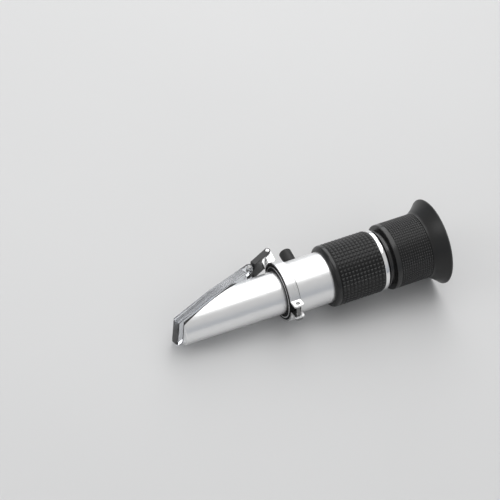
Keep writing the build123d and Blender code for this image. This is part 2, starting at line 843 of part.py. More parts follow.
with BuildPart() as eye_lens_ring:
    ring_front = eye_lens_x + lens_edge
    revolve(
        outline(
            (ring_front, lens_radius),
            (ring_front + lens_bulge / 2, ring_inner),
            (ocular_rear, ring_inner),
            (ocular_rear, lens_radius),
        ),
        axis=barrel_axis,
    )
save(eye_lens_ring.part, "eye_lens_ring")

# Eyecup: a flared rubber cup on the rear spigot of the focus ring.
with BuildPart() as eyecup:
    sleeve = spigot_radius + assembly_gap
    rim_inner = eyecup_radius - eyecup_rim
    outer_middle = ((knurl_rear + eyecup_rear) / 2, (focus_radius + eyecup_radius) / 2 - eyecup_sag)
    inner_middle = ((spigot_rear + eyecup_rear) / 2, (sleeve + rim_inner) / 2 - eyecup_sag)
    with BuildSketch(side):
        with BuildLine():
            Line((spigot_rear, sleeve), (knurl_rear, sleeve))
            Line((knurl_rear, sleeve), (knurl_rear, focus_radius))
            ThreePointArc((knurl_rear, focus_radius), outer_middle, (eyecup_rear, eyecup_radius))
            Line((eyecup_rear, eyecup_radius), (eyecup_rear, rim_inner))
            ThreePointArc((eyecup_rear, rim_inner), inner_middle, (spigot_rear, sleeve))
        make_face()
    revolve(axis=barrel_axis)
save(eyecup.part, "eyecup")
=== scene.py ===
# %% [markdown]
# # A handheld refractometer, dressed
#
# The instrument's frame comes from its CAD model, where every piece has its real size and
# place. This lesson gives it its looks: a studded rubber grip, a fine knurl, clear acrylic,
# satin aluminium. It lies on its side, with the eyecup towards +X and the side that carries the
# prism towards +Y. Everything is in metres, and most sizes below are written in millimetres and
# turned into metres once.

import math

import bpy
from mathutils import Matrix, Vector


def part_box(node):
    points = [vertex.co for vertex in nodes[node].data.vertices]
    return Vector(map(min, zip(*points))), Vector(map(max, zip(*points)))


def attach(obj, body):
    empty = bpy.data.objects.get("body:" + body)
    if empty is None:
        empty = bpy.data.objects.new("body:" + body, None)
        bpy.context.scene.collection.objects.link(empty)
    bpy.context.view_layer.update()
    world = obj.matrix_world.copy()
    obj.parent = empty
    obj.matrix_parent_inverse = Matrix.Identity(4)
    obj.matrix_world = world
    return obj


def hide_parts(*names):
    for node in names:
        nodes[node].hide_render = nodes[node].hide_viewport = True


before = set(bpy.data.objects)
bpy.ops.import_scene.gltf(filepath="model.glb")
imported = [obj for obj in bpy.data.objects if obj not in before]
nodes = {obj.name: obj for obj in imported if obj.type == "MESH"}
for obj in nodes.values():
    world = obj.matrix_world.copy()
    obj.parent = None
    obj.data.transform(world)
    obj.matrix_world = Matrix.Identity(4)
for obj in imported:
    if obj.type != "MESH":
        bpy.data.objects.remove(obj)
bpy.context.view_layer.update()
MM = 0.001

# %% [markdown]
# ## The barrel's axis
#
# Nearly everything is turned around one line, the axis of the barrel. Its height and side place
# are read from the neck's box, and stations along it are counted from the rear face of the
# chrome ring, so that the grip has negative stations and the focus ring has positive ones.

# %% The axis and a helper for places
neck_low, neck_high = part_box("neck_tube")
axis_y = (neck_low.y + neck_high.y) / 2
axis_z = (neck_low.z + neck_high.z) / 2
neck_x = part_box("chrome_ring")[1].x


def at(x, y=0.0, z=0.0):
    """A point in the frame, from millimetres along the axis, beside it and above it."""
    return Vector((neck_x + x * MM, axis_y + y * MM, axis_z + z * MM))


def station(x):
    """The other way round: the station in millimetres of a place in the frame."""
    return (x - neck_x) / MM


print("axis:", tuple(round(v / MM, 3) for v in at(0)))

# %% [markdown]
# ## Camera
#
# The photograph was taken with a long lens, from above and from the front left of the
# instrument. The picture's middle falls on a point beside the hinge arm. A camera that is
# turned towards that point needs a small roll, because the photographer didn't hold the
# instrument's side level.

# %% Camera
sensor_width = 36.0
focal_length = 144.0
camera_distance = 982.7 * MM
camera_azimuth = math.radians(-30.03)
camera_elevation = math.radians(52.57)
camera_roll = math.radians(6.74)
camera_target = at(-55.27, 28.36, 0)

back = Vector(
    (
        math.sin(camera_azimuth) * math.cos(camera_elevation),
        -math.cos(camera_azimuth) * math.cos(camera_elevation),
        math.sin(camera_elevation),
    )
)
bpy.ops.object.camera_add(location=camera_target + back * camera_distance)
camera = bpy.context.object
level = (-back).to_track_quat("-Z", "Y").to_matrix()
camera.rotation_euler = (level @ Matrix.Rotation(camera_roll, 3, "Z")).to_euler()
camera.data.sensor_width = sensor_width
camera.data.lens = focal_length
camera.data.clip_start = 10 * MM
bpy.context.scene.camera = camera
print("camera at", tuple(round(v, 3) for v in camera.location))

# %% [markdown]
# ## Floor and light
#
# On a flat table the instrument rests on two places: the rim of the eyecup behind, and the edge
# of the hinge band in front. The frame keeps the barrel level, so here the table is tilted by a
# few degrees to touch both. The studio is plain: a pale table, one large soft lamp above, a
# weaker one beside the camera and one behind, and a world that is brighter overhead than at the
# horizon, so that the metal has something to show.

# %% Floor
rim_low = Vector((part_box("eyecup")[1].x, axis_y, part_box("eyecup")[0].z))
band_low = Vector((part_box("hinge_band")[0].x, axis_y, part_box("hinge_band")[0].z))
floor_tilt = math.atan2(band_low.z - rim_low.z, rim_low.x - band_low.x)
floor_size = 6.0
bpy.ops.mesh.primitive_plane_add(
    size=floor_size, location=(rim_low + band_low) / 2, rotation=(0, floor_tilt, 0)
)
table_top = bpy.context.object
table_top.name = "table_top"
print("the table is tilted by", round(math.degrees(floor_tilt), 2), "degrees")

# %% Lamps and world
def add_lamp(name, place, target, width, power):
    """A square soft lamp that shines from one point towards another."""
    bpy.ops.object.light_add(type="AREA", location=place)
    lamp = bpy.context.object
    lamp.name = name
    lamp.rotation_euler = (Vector(target) - Vector(place)).to_track_quat("-Z", "Y").to_euler()
    lamp.data.size = width
    lamp.data.energy = power
    return lamp


middle = at(-35)
soft_boxes = {  # place from the middle and width in metres, and power in watts
    "soft_box_above": ((0.22, 0.22, 0.78), 0.75, 3.4),
    "soft_box_behind": ((0.30, 0.80, 0.42), 0.70, 2.6),
    "soft_box_left": ((-0.70, 0.10, 0.50), 0.40, 0.9),
}
for box_name, (offset, width, power) in soft_boxes.items():
    add_lamp(box_name, middle + Vector(offset), middle, width, power)

horizon_height, horizon_colour = 0.05, (0.62, 0.66, 0.72, 1)
overhead_height, overhead_colour = 0.60, (1.0, 1.0, 1.0, 1)
sky_strength = 0.58

world = bpy.data.worlds.new("studio")
bpy.context.scene.world = world
world.use_nodes = True
sky = world.node_tree
sky_background = sky.nodes["Background"]
direction = sky.nodes.new("ShaderNodeTexCoord")
split_direction = sky.nodes.new("ShaderNodeSeparateXYZ")
sky.links.new(direction.outputs["Generated"], split_direction.inputs[0])
height_ramp = sky.nodes.new("ShaderNodeValToRGB")
height_ramp.color_ramp.elements[0].position = horizon_height
height_ramp.color_ramp.elements[0].color = horizon_colour
height_ramp.color_ramp.elements[1].position = overhead_height
height_ramp.color_ramp.elements[1].color = overhead_colour
sky.links.new(split_direction.outputs["Z"], height_ramp.inputs["Fac"])
sky.links.new(height_ramp.outputs["Color"], sky_background.inputs["Color"])
sky_background.inputs["Strength"].default_value = sky_strength
bpy.context.scene.view_settings.view_transform = "Standard"

# %% [markdown]
# ## Turned shapes
#
# Rubber sleeve, knurled ring, neck, bright ring and eyecup are all turned around the barrel's
# axis. A section could be spun from a curve, or a cylinder could be cut up by loop cuts. Here
# the half section is drawn point by point with extrude, its corners are rounded with a vertex
# bevel, and one spin makes the solid, so the rows that the studs need are in the mesh from the
# start.

# %% Helpers for edit mode
round_steps = 128
soft_angle = 50


def edit(piece):
    """Opens one piece for editing, with nothing else selected."""
    bpy.ops.object.select_all(action="DESELECT")
    bpy.context.view_layer.objects.active = piece
    piece.select_set(True)
    bpy.ops.object.mode_set(mode="EDIT")


def pick(piece, kind, test):
    """Selects the vertices, edges or faces of the open piece that pass a test."""
    bpy.ops.mesh.select_mode(type=kind)
    bpy.ops.mesh.select_all(action="DESELECT")
    bpy.ops.object.mode_set(mode="OBJECT")
    mesh = piece.data
    for element in {"VERT": mesh.vertices, "EDGE": mesh.edges, "FACE": mesh.polygons}[kind]:
        element.select = test(element)
    bpy.ops.object.mode_set(mode="EDIT")


def close_up(piece, smooth_angle=35):
    """Leaves edit mode with clean faces and the piece's place in its mesh."""
    bpy.ops.mesh.select_all(action="SELECT")
    bpy.ops.mesh.remove_doubles(threshold=0.002 * MM)
    bpy.ops.mesh.normals_make_consistent(inside=False)
    bpy.ops.object.mode_set(mode="OBJECT")
    bpy.ops.object.transform_apply(location=True, rotation=True, scale=True)
    bpy.ops.object.shade_smooth_by_angle(angle=math.radians(smooth_angle))
    print(piece.name, len(piece.data.polygons), "faces")


def draw_section(name, points, corners=()):
    """Draws a closed half section.

    Its points are (station, radius) in millimetres, and its corners are (point, rounding radius).
    """
    places = [at(x, 0, radius) for x, radius in points]
    bpy.ops.object.select_all(action="DESELECT")
    bpy.ops.mesh.primitive_plane_add(size=0.1 * MM, location=places[0])
    piece = bpy.context.object
    piece.name = name
    bpy.ops.object.mode_set(mode="EDIT")
    bpy.ops.mesh.select_mode(type="VERT")
    bpy.ops.mesh.merge(type="CENTER")
    for start, end in zip(places, [*places[1:], places[0]]):
        bpy.ops.mesh.extrude_vertices_move(TRANSFORM_OT_translate={"value": end - start})
    bpy.ops.mesh.select_all(action="SELECT")
    bpy.ops.mesh.remove_doubles(threshold=0.002 * MM)
    for point, radius in corners:
        place = at(point[0], 0, point[1]) - piece.location
        pick(piece, "VERT", lambda vertex: (vertex.co - place).length < 0.01 * MM)
        bpy.ops.mesh.bevel(offset=radius * MM, segments=6, affect="VERTICES")
    return piece


def spin_round(piece, steps):
    """Spins the open section once around the barrel's axis."""
    bpy.ops.mesh.select_all(action="SELECT")
    bpy.ops.mesh.spin(
        steps=steps, angle=2 * math.pi, center=at(0), axis=(1, 0, 0), use_auto_merge=True
    )
    bpy.ops.mesh.select_all(action="SELECT")
    bpy.ops.mesh.remove_doubles(threshold=0.002 * MM)
    bpy.ops.mesh.normals_make_consistent(inside=False)


def arc(start, end, sag, count):
    """Points between two points of a section, on an arc that sags to the left of the way."""
    (x0, r0), (x1, r1) = start, end
    length = math.hypot(x1 - x0, r1 - r0)
    across = ((r0 - r1) / length, (x1 - x0) / length)
    shares = [i / (count + 1) for i in range(1, count + 1)]
    return [
        (x0 + (x1 - x0) * t + across[0] * sag * 4 * t * (1 - t),
         r0 + (r1 - r0) * t + across[1] * sag * 4 * t * (1 - t))
        for t in shares
    ]


# %% [markdown]
# ### Studs
#
# Both the grip and the focus ring carry a square lattice of small studs. They could be an array
# of copies, or only a bump in the material, but a bump leaves the outline smooth. Here the
# faces of the turned surface become the studs: an inset leaves the floor between them, a second
# one with depth raises the sloping sides, and a third rounds the crown. Neighbouring cells
# would melt into one region, so they are taken in four rounds, like the fields of a chessboard.

# %% A lattice of studs
def raise_studs(piece, floor_radius, first, pitch, rows, columns, insets):
    """Turns the faces of a plain turned band into studs. Insets are (thickness, depth) in mm."""

    def cell(face):
        """Row and column of a face on the band's floor, or None elsewhere."""
        place = piece.matrix_world @ face.center - at(0)
        radius = math.hypot(place.y, place.z) / MM
        row = math.floor((place.x / MM - first) / pitch)
        flat = abs(face.normal.x) < 0.1 and abs(radius - floor_radius) < 0.1
        if not (flat and 0 <= row < rows):
            return None
        turn = math.atan2(place.y, place.z) % (2 * math.pi)
        return row, math.floor(turn / (2 * math.pi) * columns)

    for row_parity in (0, 1):
        for column_parity in (0, 1):
            parity = (row_parity, column_parity)

            def chosen(face):
                found = cell(face)
                return found is not None and (found[0] % 2, found[1] % 2) == parity

            pick(piece, "FACE", chosen)
            for thickness, depth in insets:
                bpy.ops.mesh.inset(thickness=thickness * MM, depth=depth * MM)


# %% [markdown]
# ### Rubber grip
#
# A thick sleeve with a smooth rounded lip in front, a thin groove, and twelve rows of blunt
# pyramids up to the bright ring. The studs stand on a floor half a millimetre below the lip.

# %% Grip
grip_front, grip_rear = (station(corner.x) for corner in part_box("rubber_grip"))
grip_radius = (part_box("rubber_grip")[1].z - axis_z) / MM
sleeve_bore = 13.05
grip_stud_height = 0.52
grip_stud_rows = 12
grip_stud_columns = 48
grip_groove_depth = 0.25
grip_floor = grip_radius - grip_stud_height
lip_rear = grip_front + 3.1
grip_studs_front = grip_front + 3.4
grip_studs_rear = grip_rear - 0.2
grip_pitch = (grip_studs_rear - grip_studs_front) / grip_stud_rows
grip_points = [
    (grip_rear, sleeve_bore),
    (grip_rear, grip_floor),
    *[(grip_studs_rear - i * grip_pitch, grip_floor) for i in range(grip_stud_rows + 1)],
    (grip_studs_front, grip_floor - grip_groove_depth),
    (lip_rear, grip_floor - grip_groove_depth),
    (lip_rear, grip_radius),
    (grip_front, grip_radius),
    (grip_front, sleeve_bore),
]
rubber_sleeve = draw_section(
    "rubber_sleeve",
    grip_points,
    corners=[((lip_rear, grip_radius), 0.35), ((grip_front, grip_radius), 2.0)],
)
spin_round(rubber_sleeve, 2 * grip_stud_columns)
raise_studs(
    rubber_sleeve, grip_floor, grip_studs_front, grip_pitch, grip_stud_rows, grip_stud_columns,
    insets=[(0.14, 0.0), (0.34, 0.42), (0.20, 0.10)],
)
close_up(rubber_sleeve)
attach(rubber_sleeve, "main")
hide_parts("rubber_grip")

# %% [markdown]
# ### Focus ring
#
# The user turns this ring to focus. Its band has a finer lattice, fourteen rows of 72 small
# studs, between a smooth lip in front and the eyecup behind. Inside it is a web that turns on
# the ocular tube.

# %% Focus ring
focus_front, spigot_rear = (station(corner.x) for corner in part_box("focus_ring"))
focus_radius = (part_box("focus_ring")[1].z - axis_z) / MM
spigot_length = 3.0
focus_lip = 2.75
knurl_groove = 0.25
knurl_height = 0.36
knurl_rows = 14
knurl_columns = 72
knurl_rear = spigot_rear - spigot_length
knurl_front = focus_front + focus_lip
knurl_pitch = (knurl_rear - knurl_front) / knurl_rows
knurl_floor = focus_radius - knurl_height
lip_end = knurl_front - knurl_groove
ring_bore = 14.05
spigot_radius = 14.4
spigot_bore = 13.0
web_bore = 10.3
web_front, web_rear = 15.5, 17.5
focus_points = [
    (focus_front, ring_bore),
    (focus_front, focus_radius),
    (lip_end, focus_radius),
    (lip_end, knurl_floor),
    *[(knurl_front + i * knurl_pitch, knurl_floor) for i in range(knurl_rows + 1)],
    (knurl_rear, spigot_radius),
    (spigot_rear, spigot_radius),
    (spigot_rear, spigot_bore),
    (web_rear, spigot_bore),
    (web_rear, web_bore),
    (web_front, web_bore),
    (web_front, ring_bore),
]
knurled_ring = draw_section(
    "knurled_ring",
    focus_points,
    corners=[((focus_front, focus_radius), 0.5), ((lip_end, focus_radius), 0.15)],
)
spin_round(knurled_ring, 2 * knurl_columns)
raise_studs(
    knurled_ring, knurl_floor, knurl_front, knurl_pitch, knurl_rows, knurl_columns,
    insets=[(0.12, 0.0), (0.22, 0.29), (0.12, 0.07)],
)
close_up(knurled_ring)
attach(knurled_ring, "focus")
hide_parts("focus_ring")

# %% [markdown]
# ### Eyecup
#
# A soft cup that keeps light away from the eye. Its wall flares outwards in a hollow curve,
# gets thinner towards the rim, and ends in a small rolled edge that catches the light.

# %% Eyecup
cup_rear = station(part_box("eyecup")[1].x)
cup_radius = (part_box("eyecup")[1].z - axis_z) / MM
cup_sleeve = 14.45
rim_width = 1.2
rolled_edge = 0.3  # length of the thin outer edge of the rim
outer_sag, inner_sag = -0.30, 0.45  # how hollow the flare is outside and inside
curve_points = 6
cup_shoulder = (knurl_rear, focus_radius)
flare_start = (knurl_rear + 0.5, focus_radius)
cup_edge = (cup_rear - 0.5, cup_radius - 0.25)
cup_inner = (cup_rear, cup_radius - rim_width)
cup_points = [
    (spigot_rear, cup_sleeve),
    (knurl_rear, cup_sleeve),
    cup_shoulder,
    flare_start,
    *arc(flare_start, cup_edge, outer_sag, curve_points),
    cup_edge,
    (cup_rear - rolled_edge, cup_radius),
    (cup_rear, cup_radius),
    cup_inner,
    *arc(cup_inner, (spigot_rear, cup_sleeve), inner_sag, curve_points),
]
flared_cup = draw_section(
    "flared_cup",
    cup_points,
    corners=[(cup_shoulder, 0.3), ((cup_rear, cup_radius), 0.22), (cup_inner, 0.3)],
)
spin_round(flared_cup, round_steps)
close_up(flared_cup, soft_angle)
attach(flared_cup, "focus")
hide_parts("eyecup")

# %% [markdown]
# ### Bright ring and neck
#
# The ring behind the grip is polished and slightly domed. The neck behind it is glossy black,
# with a narrow collar, a groove and a rounded bead, and a long spigot that goes into the
# barrel.

# %% Bright ring
ring_front, ring_rear = (station(corner.x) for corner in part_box("chrome_ring"))
ring_radius = (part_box("chrome_ring")[1].z - axis_z) / MM
ring_dome = 0.12
ring_shoulder = ring_radius - ring_dome
ring_corner = 0.45
ring_points = [
    (ring_front, sleeve_bore),
    (ring_front, ring_shoulder),
    ((ring_front + ring_rear) / 2, ring_radius),
    (ring_rear, ring_shoulder),
    (ring_rear, sleeve_bore),
]
bright_ring = draw_section(
    "bright_ring",
    ring_points,
    corners=[
        ((ring_front, ring_shoulder), ring_corner),
        ((ring_rear, ring_shoulder), ring_corner),
    ],
)
spin_round(bright_ring, round_steps)
close_up(bright_ring, soft_angle)
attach(bright_ring, "main")
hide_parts("chrome_ring")

# %% Neck
neck_front, neck_rear = (station(corner.x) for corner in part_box("neck_tube"))
neck_bore = 10.3
spigot_fit = 11.45
barrel_radius = 13.0
barrel_rear = -0.8
collar_radius = 14.4
groove_radius = 13.55
bead_radius = 14.7
neck_radius = 14.0
collar_rear = 0.5
bead_front, bead_rear = 0.95, 1.85
bead_corner = 0.35
neck_points = [
    (neck_front, neck_bore),
    (neck_front, spigot_fit),
    (barrel_rear, spigot_fit),
    (barrel_rear, barrel_radius),
    (0.0, barrel_radius),
    (0.0, collar_radius),
    (collar_rear, collar_radius),
    (collar_rear, groove_radius),
    (bead_front, groove_radius),
    (bead_front, bead_radius),
    (bead_rear, bead_radius),
    (bead_rear, neck_radius),
    (neck_rear, neck_radius),
    (neck_rear, neck_bore),
]
black_neck = draw_section(
    "black_neck",
    neck_points,
    corners=[
        ((collar_rear, collar_radius), 0.15),
        ((bead_front, bead_radius), bead_corner),
        ((bead_rear, bead_radius), bead_corner),
        ((neck_rear, neck_radius), 0.3),
    ],
)
spin_round(black_neck, round_steps)
close_up(black_neck, soft_angle)
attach(black_neck, "main")
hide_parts("neck_tube")

# %% [markdown]
# ### Band liner
#
# A black rubber strip lies between the barrel and the hinge band. It shows as a thin dark line
# on both sides of the bright band, with soft edges.

# %% Band liner
band_front, band_rear = (station(corner.x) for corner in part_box("hinge_band"))
liner_radius = (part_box("band_liner")[1].z - axis_z) / MM
front_overhang, rear_overhang = 0.3, 0.4
liner_corner = 0.25
liner_front = band_front - front_overhang
liner_rear = band_rear + rear_overhang
liner_points = [
    (liner_front, sleeve_bore),
    (liner_front, liner_radius),
    (liner_rear, liner_radius),
    (liner_rear, sleeve_bore),
]
liner_strip = draw_section(
    "liner_strip",
    liner_points,
    corners=[
        ((liner_front, liner_radius), liner_corner),
        ((liner_rear, liner_radius), liner_corner),
    ],
)
spin_round(liner_strip, round_steps)
close_up(liner_strip, soft_angle)
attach(liner_strip, "main")
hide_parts("band_liner")

# %% [markdown]
# ## Edges that catch the light
#
# The clear plate, the arm, the band and the screws have their right shape in CAD, but with
# knife-sharp edges, and no real edge is sharp. Modelling them once more would only copy the
# CAD, so each gets a copy of its mesh, merged into clean faces, whose sharp edges are bevelled.

# %% Copies with soft edges
def copy_of(node_name, name):
    """A copy of a piece of the frame, open in edit mode, with its triangles merged."""
    piece = bpy.data.objects.new(name, nodes[node_name].data.copy())
    bpy.context.collection.objects.link(piece)
    edit(piece)
    bpy.ops.mesh.customdata_custom_splitnormals_clear()
    bpy.ops.mesh.select_all(action="SELECT")
    bpy.ops.mesh.remove_doubles(threshold=0.002 * MM)
    bpy.ops.mesh.normals_make_consistent(inside=False)
    bpy.ops.mesh.dissolve_limited(angle_limit=math.radians(0.5))
    return piece


def round_edges(piece, width, segments=2, sharp_angle=35):
    """Bevels the sharp edges of the open piece. Weighted normals keep its flat faces flat."""
    bpy.ops.mesh.select_mode(type="EDGE")
    bpy.ops.mesh.select_all(action="DESELECT")
    bpy.ops.mesh.edges_select_sharp(sharpness=math.radians(sharp_angle))
    bpy.ops.mesh.bevel(offset=width * MM, segments=segments, affect="EDGES")
    close_up(piece)
    bpy.ops.object.modifier_add(type="WEIGHTED_NORMAL")
    bpy.ops.object.modifier_apply(modifier=piece.modifiers[0].name)


def soften(node_name, name, body, width):
    """A copy of a piece of the frame, with rounded edges, that stands for it."""
    piece = copy_of(node_name, name)
    round_edges(piece, width)
    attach(piece, body)
    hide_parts(node_name)
    return piece


clear_plate = soften("daylight_plate", "clear_plate", "plate", 0.22)
dark_arm = soften("hinge_arm", "dark_arm", "arm", 0.22)
split_band = soften("hinge_band", "split_band", "main", 0.16)
tab_screw = soften("clamp_screw", "tab_screw", "main", 0.12)

# %% [markdown]
# ### Rim of the prism
#
# From the side this black rim is all that shows of the prism: a dark line between the clear
# plate and the bright housing. It has a soft skirt that bulges out a little, so the outer sides
# of the copy are extruded along their normals, and its top lifts to just under the plate.

# %% Rim of the prism
cut_angle = math.radians(21.9)
cut_normal = Vector((-math.sin(cut_angle), math.cos(cut_angle), 0.0))
skirt = 0.5
rim_lift = 0.2
prism_rim = copy_of("prism_frame", "prism_rim")
rim_middle = sum(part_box("prism_frame"), Vector()) / 2


def is_outer_side(face):
    outwards = (face.center - rim_middle).dot(face.normal) > 0
    return outwards and abs(face.normal.dot(cut_normal)) < 0.1


pick(prism_rim, "FACE", is_outer_side)
bpy.ops.mesh.extrude_region_shrink_fatten(
    TRANSFORM_OT_shrink_fatten={"value": skirt * MM, "use_even_offset": True}
)
pick(prism_rim, "FACE", lambda face: face.normal.dot(cut_normal) > 0.9)
bpy.ops.transform.translate(value=cut_normal * rim_lift * MM)
round_edges(prism_rim, 0.12)
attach(prism_rim, "main")
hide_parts("prism_frame")

# %% [markdown]
# ### Arm pin
#
# The pin at the arm's rear end is riveted: each end is a small dome that stands just proud of
# the dark cheek and shows as a bright dot. A cylinder gives the shaft, and its two end faces
# are inset, extruded and rounded.

# %% Arm pin
pin_low, pin_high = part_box("arm_pin")
pin_middle = (pin_low + pin_high) / 2
arm_low, arm_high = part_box("hinge_arm")
shaft_radius = 0.9
dome_inset = 0.2
dome_height = 0.28
dome_corner = 0.2
bpy.ops.object.select_all(action="DESELECT")
bpy.ops.mesh.primitive_cylinder_add(
    vertices=48, radius=shaft_radius * MM, depth=arm_high.z - arm_low.z, location=pin_middle
)
riveted_pin = bpy.context.object
riveted_pin.name = "riveted_pin"
edit(riveted_pin)
for upwards in (1, -1):
    pick(riveted_pin, "FACE", lambda face: face.normal.z * upwards > 0.9)
    bpy.ops.mesh.inset(thickness=dome_inset * MM, depth=0.0)
    bpy.ops.mesh.extrude_region_move(
        TRANSFORM_OT_translate={"value": (0, 0, upwards * dome_height * MM)}
    )
    bpy.ops.mesh.bevel(offset=dome_corner * MM, segments=4, affect="EDGES")
close_up(riveted_pin, soft_angle)
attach(riveted_pin, "main")
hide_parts("arm_pin")

# %% [markdown]
# ## Shader maths in plain Python
#
# A finish is a small network of nodes. Wiring it by hand takes many lines, so a tiny class
# wraps a socket and gives it Python's operators: `1 - mask * 2` adds the Math nodes by itself.
# Every other node comes from one method, which takes the node's type, its settings and its
# inputs.

# %% Socket maths
class Wire:
    """The output of a node, with operators that add Math nodes."""

    def __init__(self, paint, socket):
        self.paint = paint
        self.socket = socket

    def math(self, operation, *others):
        inputs = dict(enumerate([self, *others]))
        return self.paint.node("ShaderNodeMath", {"operation": operation}, inputs)

    def __add__(self, other):
        return self.math("ADD", other)

    def __mul__(self, other):
        return self.math("MULTIPLY", other)

    def __sub__(self, other):
        return self.math("SUBTRACT", other)

    def __rsub__(self, other):
        return (self * -1.0) + other

    __radd__ = __add__
    __rmul__ = __mul__


# %% The paint class
class Paint:
    """One material: a Principled shader, and methods that add nodes to it."""

    def __init__(self, name, **fixed):
        self.material = bpy.data.materials.new(name)
        self.material.use_nodes = True
        self.tree = self.material.node_tree
        self.shader = self.tree.nodes["Principled BSDF"]
        for socket, value in fixed.items():
            self.shader.inputs[socket.replace("_", " ")].default_value = value

    def node(self, kind, settings=None, inputs=None, output=0):
        node = self.tree.nodes.new(kind)
        for name, value in (settings or {}).items():
            setattr(node, name, value)
        for socket, value in (inputs or {}).items():
            self.feed(node.inputs[socket], value)
        return Wire(self, node.outputs[output])

    def feed(self, socket, value):
        if isinstance(value, Wire):
            self.tree.links.new(value.socket, socket)
        else:
            socket.default_value = value

    def set(self, **varying):
        for socket, value in varying.items():
            self.feed(self.shader.inputs[socket.replace("_", " ")], value)

    def place(self, stretch=(1.0, 1.0, 1.0), turn=0.0):
        """Object coordinates in millimetres, turned about Z and then stretched."""
        where = self.node("ShaderNodeTexCoord", output="Object")
        turned = self.node("ShaderNodeMapping", {}, {"Vector": where, "Rotation": (0, 0, turn)})
        scale = tuple(share / MM for share in stretch)
        return self.node("ShaderNodeMapping", {}, {"Vector": turned, "Scale": scale})

    def noise(self, per_mm, detail=2.0, stretch=(1.0, 1.0, 1.0), turn=0.0):
        """Noise from 0 to 1, with so many bumps in a millimetre."""
        inputs = {"Vector": self.place(stretch, turn), "Scale": per_mm, "Detail": detail}
        return self.node("ShaderNodeTexNoise", {}, inputs)

    def off_axis(self):
        """Distance from the barrel's axis in millimetres."""
        where = self.node("ShaderNodeTexCoord", output="Object")
        shift = (0, -axis_y / MM, -axis_z / MM)
        scale = (0, 1 / MM, 1 / MM)
        inputs = {"Vector": where, "Location": shift, "Scale": scale}
        across = self.node("ShaderNodeMapping", {}, inputs)
        return self.node("ShaderNodeVectorMath", {"operation": "LENGTH"}, {0: across}, "Value")

    def along_axis(self):
        """Station along the barrel in millimetres."""
        where = self.node("ShaderNodeTexCoord", output="Object")
        return self.node("ShaderNodeSeparateXYZ", {}, {0: where}) * (1 / MM) - neck_x / MM

    def fade(self, value, start, end):
        """Rises softly from 0 to 1 while the value goes from start to end."""
        inputs = {"Value": value, "From Min": start, "From Max": end}
        return self.node("ShaderNodeMapRange", {"interpolation_type": "SMOOTHSTEP"}, inputs)

    def mix(self, amount, first, second):
        """A colour between two colours."""
        inputs = {0: amount, 6: first, 7: second}
        return self.node("ShaderNodeMix", {"data_type": "RGBA"}, inputs, 2)

    def bump(self, height, depth):
        """A normal from a height map. The depth is in millimetres."""
        inputs = {"Height": height, "Distance": depth * MM, "Strength": 1.0}
        return self.node("ShaderNodeBump", {}, inputs)


def grey(level, warmth=0.0):
    """A grey as a colour, a little warmer or cooler."""
    return (level * (1 + warmth), level, level * (1 - warmth), 1.0)


def dress(piece, paint):
    """Gives a piece one finish, in place of what it had."""
    piece.data.materials.clear()
    piece.data.materials.append(paint.material)


# %% [markdown]
# ### Table
#
# A plain pale sheet of card. It stays plain, because it is only there to carry the shadow, but
# a faint cloudiness keeps it from looking like a hole in the picture.

# %% Table finish
def paint_table():
    paint = Paint("pale_table", Roughness=0.75)
    clouds = paint.noise(0.004, 3.0)
    paint.set(Base_Color=paint.mix(clouds, grey(0.62), grey(0.66)))
    return paint


dress(table_top, paint_table())

# %% [markdown]
# ## Metals
#
# The barrel and the housing are aluminium with a fine satin finish, nearly white. Turning
# leaves very faint rings around the axis, and blasting leaves a fine grain. So the bump mixes a
# noise that is squeezed along the axis and stretched around it with one that is even in all
# directions, and a slow cloud changes the roughness, as fingers do.

# %% Metal finishes
def paint_satin(name, level, roughness, rings_per_mm, ring_share, depth):
    """Satin metal. The ring share is the part of the bump that is turned rings, not grain."""
    paint = Paint(name, Metallic=1.0)
    rings = paint.noise(1.0, 3.0, (rings_per_mm, 0.02, 0.02))
    grain = paint.noise(7.0, 2.0)
    cloud = paint.noise(0.10, 3.0)
    smudge = paint.fade(paint.noise(0.22, 4.0), 0.52, 0.68)
    paint.set(
        Base_Color=paint.mix(cloud, grey(level * 0.96), grey(level * 1.03)),
        Roughness=rings * 0.06 + smudge * 0.06 + (roughness - 0.05),
        Normal=paint.bump(rings * ring_share + grain * (1 - ring_share), depth),
    )
    return paint


barrel_paint = paint_satin("satin_turned_aluminium", 0.90, 0.33, 3.0, 0.5, 0.0016)
housing_paint = paint_satin("satin_housing_aluminium", 0.91, 0.33, 2.2, 0.3, 0.0016)
band_paint = paint_satin("satin_sheet_steel", 0.80, 0.30, 5.0, 0.8, 0.0014)
pin_paint = paint_satin("bright_steel", 0.84, 0.24, 5.0, 0.7, 0.0006)
screw_paint = paint_satin("darker_steel", 0.22, 0.34, 5.0, 0.7, 0.0010)
chrome_paint = paint_satin("polished_chrome", 0.92, 0.09, 1.0, 0.2, 0.0002)


def paint_brass():
    paint = Paint("turned_brass", Metallic=1.0)
    rings = paint.noise(1.0, 3.0, (0.05, 6.0, 0.05))
    tarnish = paint.fade(paint.noise(0.6, 4.0), 0.45, 0.7)
    paint.set(
        Base_Color=paint.mix(tarnish, (0.78, 0.57, 0.27, 1), (0.55, 0.38, 0.17, 1)),
        Roughness=rings * 0.1 + tarnish * 0.12 + 0.2,
        Normal=paint.bump(rings, 0.0015),
    )
    return paint


brass_paint = paint_brass()
